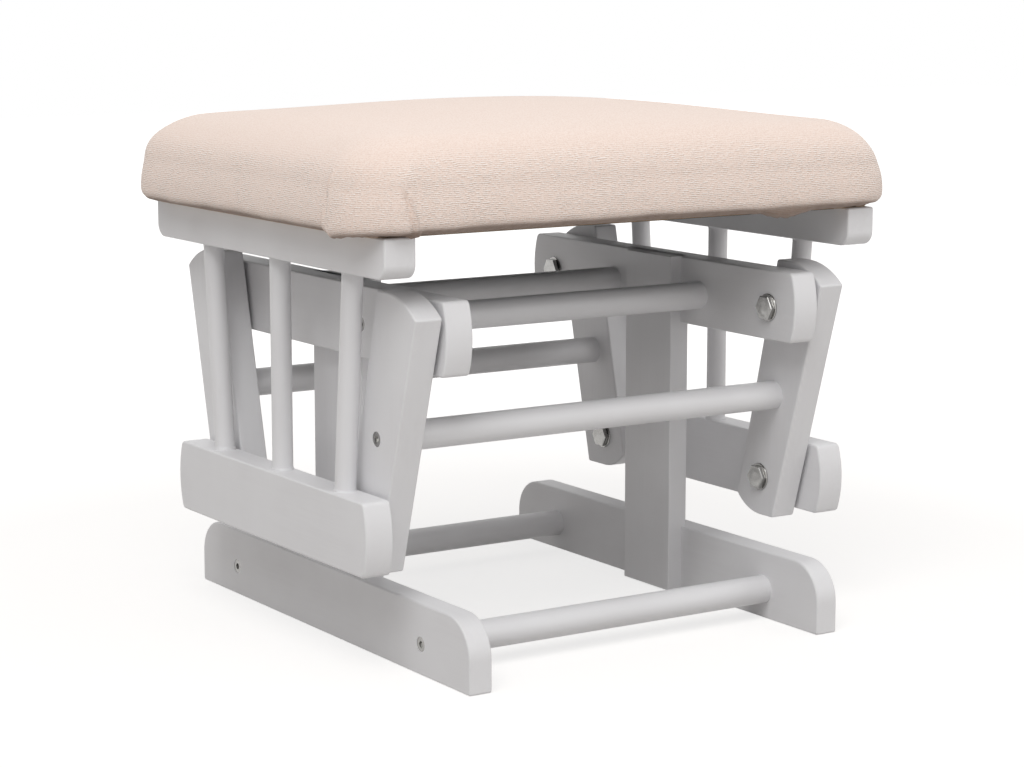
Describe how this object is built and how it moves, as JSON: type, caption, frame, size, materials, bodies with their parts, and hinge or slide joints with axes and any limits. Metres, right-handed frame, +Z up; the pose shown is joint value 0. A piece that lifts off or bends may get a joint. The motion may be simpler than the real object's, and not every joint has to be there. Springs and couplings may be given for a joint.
{
  "type": "glider ottoman",
  "caption": "Gliding footstool: a padded seat on spindled sides, hung by swinging arms from a fixed frame with rods and flat base rails.",
  "frame": {"origin": "on the floor, under the middle of the two base rails, halfway between their ends and between the two sides", "axes": "+Z up, +X to the right, front faces -Y; the seat glides along Y"},
  "size_m": [0.459, 0.401, 0.3853],
  "materials": {
    "painted_wood": "satin white paint over hardwood",
    "cushion_fabric": "soft ribbed chenille, cream",
    "zinc_plate": "bright zinc plate",
    "bush_nylon": "matt nylon",
    "plywood": "raw plywood",
    "bare_wood": "bare beech",
    "dust_fabric": "black non-woven cloth"
  },
  "bodies": {
    "root": {"base_rail_left": "painted_wood", "base_rail_right": "painted_wood", "base_rod_front": "painted_wood", "base_rod_rear": "painted_wood", "base_rod_screws": "zinc_plate", "post_left": "painted_wood", "post_right": "painted_wood", "post_dowels": "bare_wood", "upper_rail_left": "painted_wood", "upper_rail_right": "painted_wood", "upper_rod_front": "painted_wood", "upper_rod_rear": "painted_wood", "upper_rod_screws": "zinc_plate", "upper_pivot_bolts": "zinc_plate", "upper_pivot_washers": "zinc_plate", "upper_pivot_sleeves": "zinc_plate"},
    "front_arms": {"arm_front_left": "painted_wood", "arm_front_right": "painted_wood", "arm_rod_front": "painted_wood", "arm_rod_screws_front": "zinc_plate", "upper_bushes_front": "bush_nylon", "lower_bolts_front": "zinc_plate", "lower_washers_front": "zinc_plate", "lower_sleeves_front": "zinc_plate"},
    "rear_arms": {"arm_rear_left": "painted_wood", "arm_rear_right": "painted_wood", "arm_rod_rear": "painted_wood", "arm_rod_screws_rear": "zinc_plate", "upper_bushes_rear": "bush_nylon", "lower_bolts_rear": "zinc_plate", "lower_washers_rear": "zinc_plate", "lower_sleeves_rear": "zinc_plate"},
    "carriage": {"carriage_rail_left": "painted_wood", "carriage_rail_right": "painted_wood", "carriage_bushes_front": "bush_nylon", "carriage_bushes_rear": "bush_nylon", "spindle_left_front": "painted_wood", "spindle_left_middle": "painted_wood", "spindle_left_rear": "painted_wood", "spindle_right_front": "painted_wood", "spindle_right_middle": "painted_wood", "spindle_right_rear": "painted_wood", "seat_rail_left": "painted_wood", "seat_rail_right": "painted_wood", "seat_screws": "zinc_plate", "seat_board": "plywood", "dust_cover": "dust_fabric", "seat_cushion": "cushion_fabric"}
  },
  "joints": [
    {"name": "front_arm_swing", "type": "hinge", "parent": "root", "child": "front_arms", "pos_m": [0, -0.1415, 0.235], "axis": [1, 0, 0], "range_deg": [-12, 12]},
    {"name": "rear_arm_swing", "type": "hinge", "parent": "root", "child": "rear_arms", "pos_m": [0, 0.1415, 0.235], "axis": [1, 0, 0], "range_deg": [-12, 12]},
    {"name": "carriage_hinge", "type": "hinge", "parent": "front_arms", "child": "carriage", "pos_m": [0, -0.104, 0.1], "axis": [1, 0, 0], "range_deg": [-16.5, 16.5]}
  ],
  "couplings": [
    {"joint": "rear_arm_swing", "follows": "front_arm_swing", "ratio": 1},
    {"joint": "carriage_hinge", "follows": "front_arm_swing", "ratio": -1.358}
  ]
}
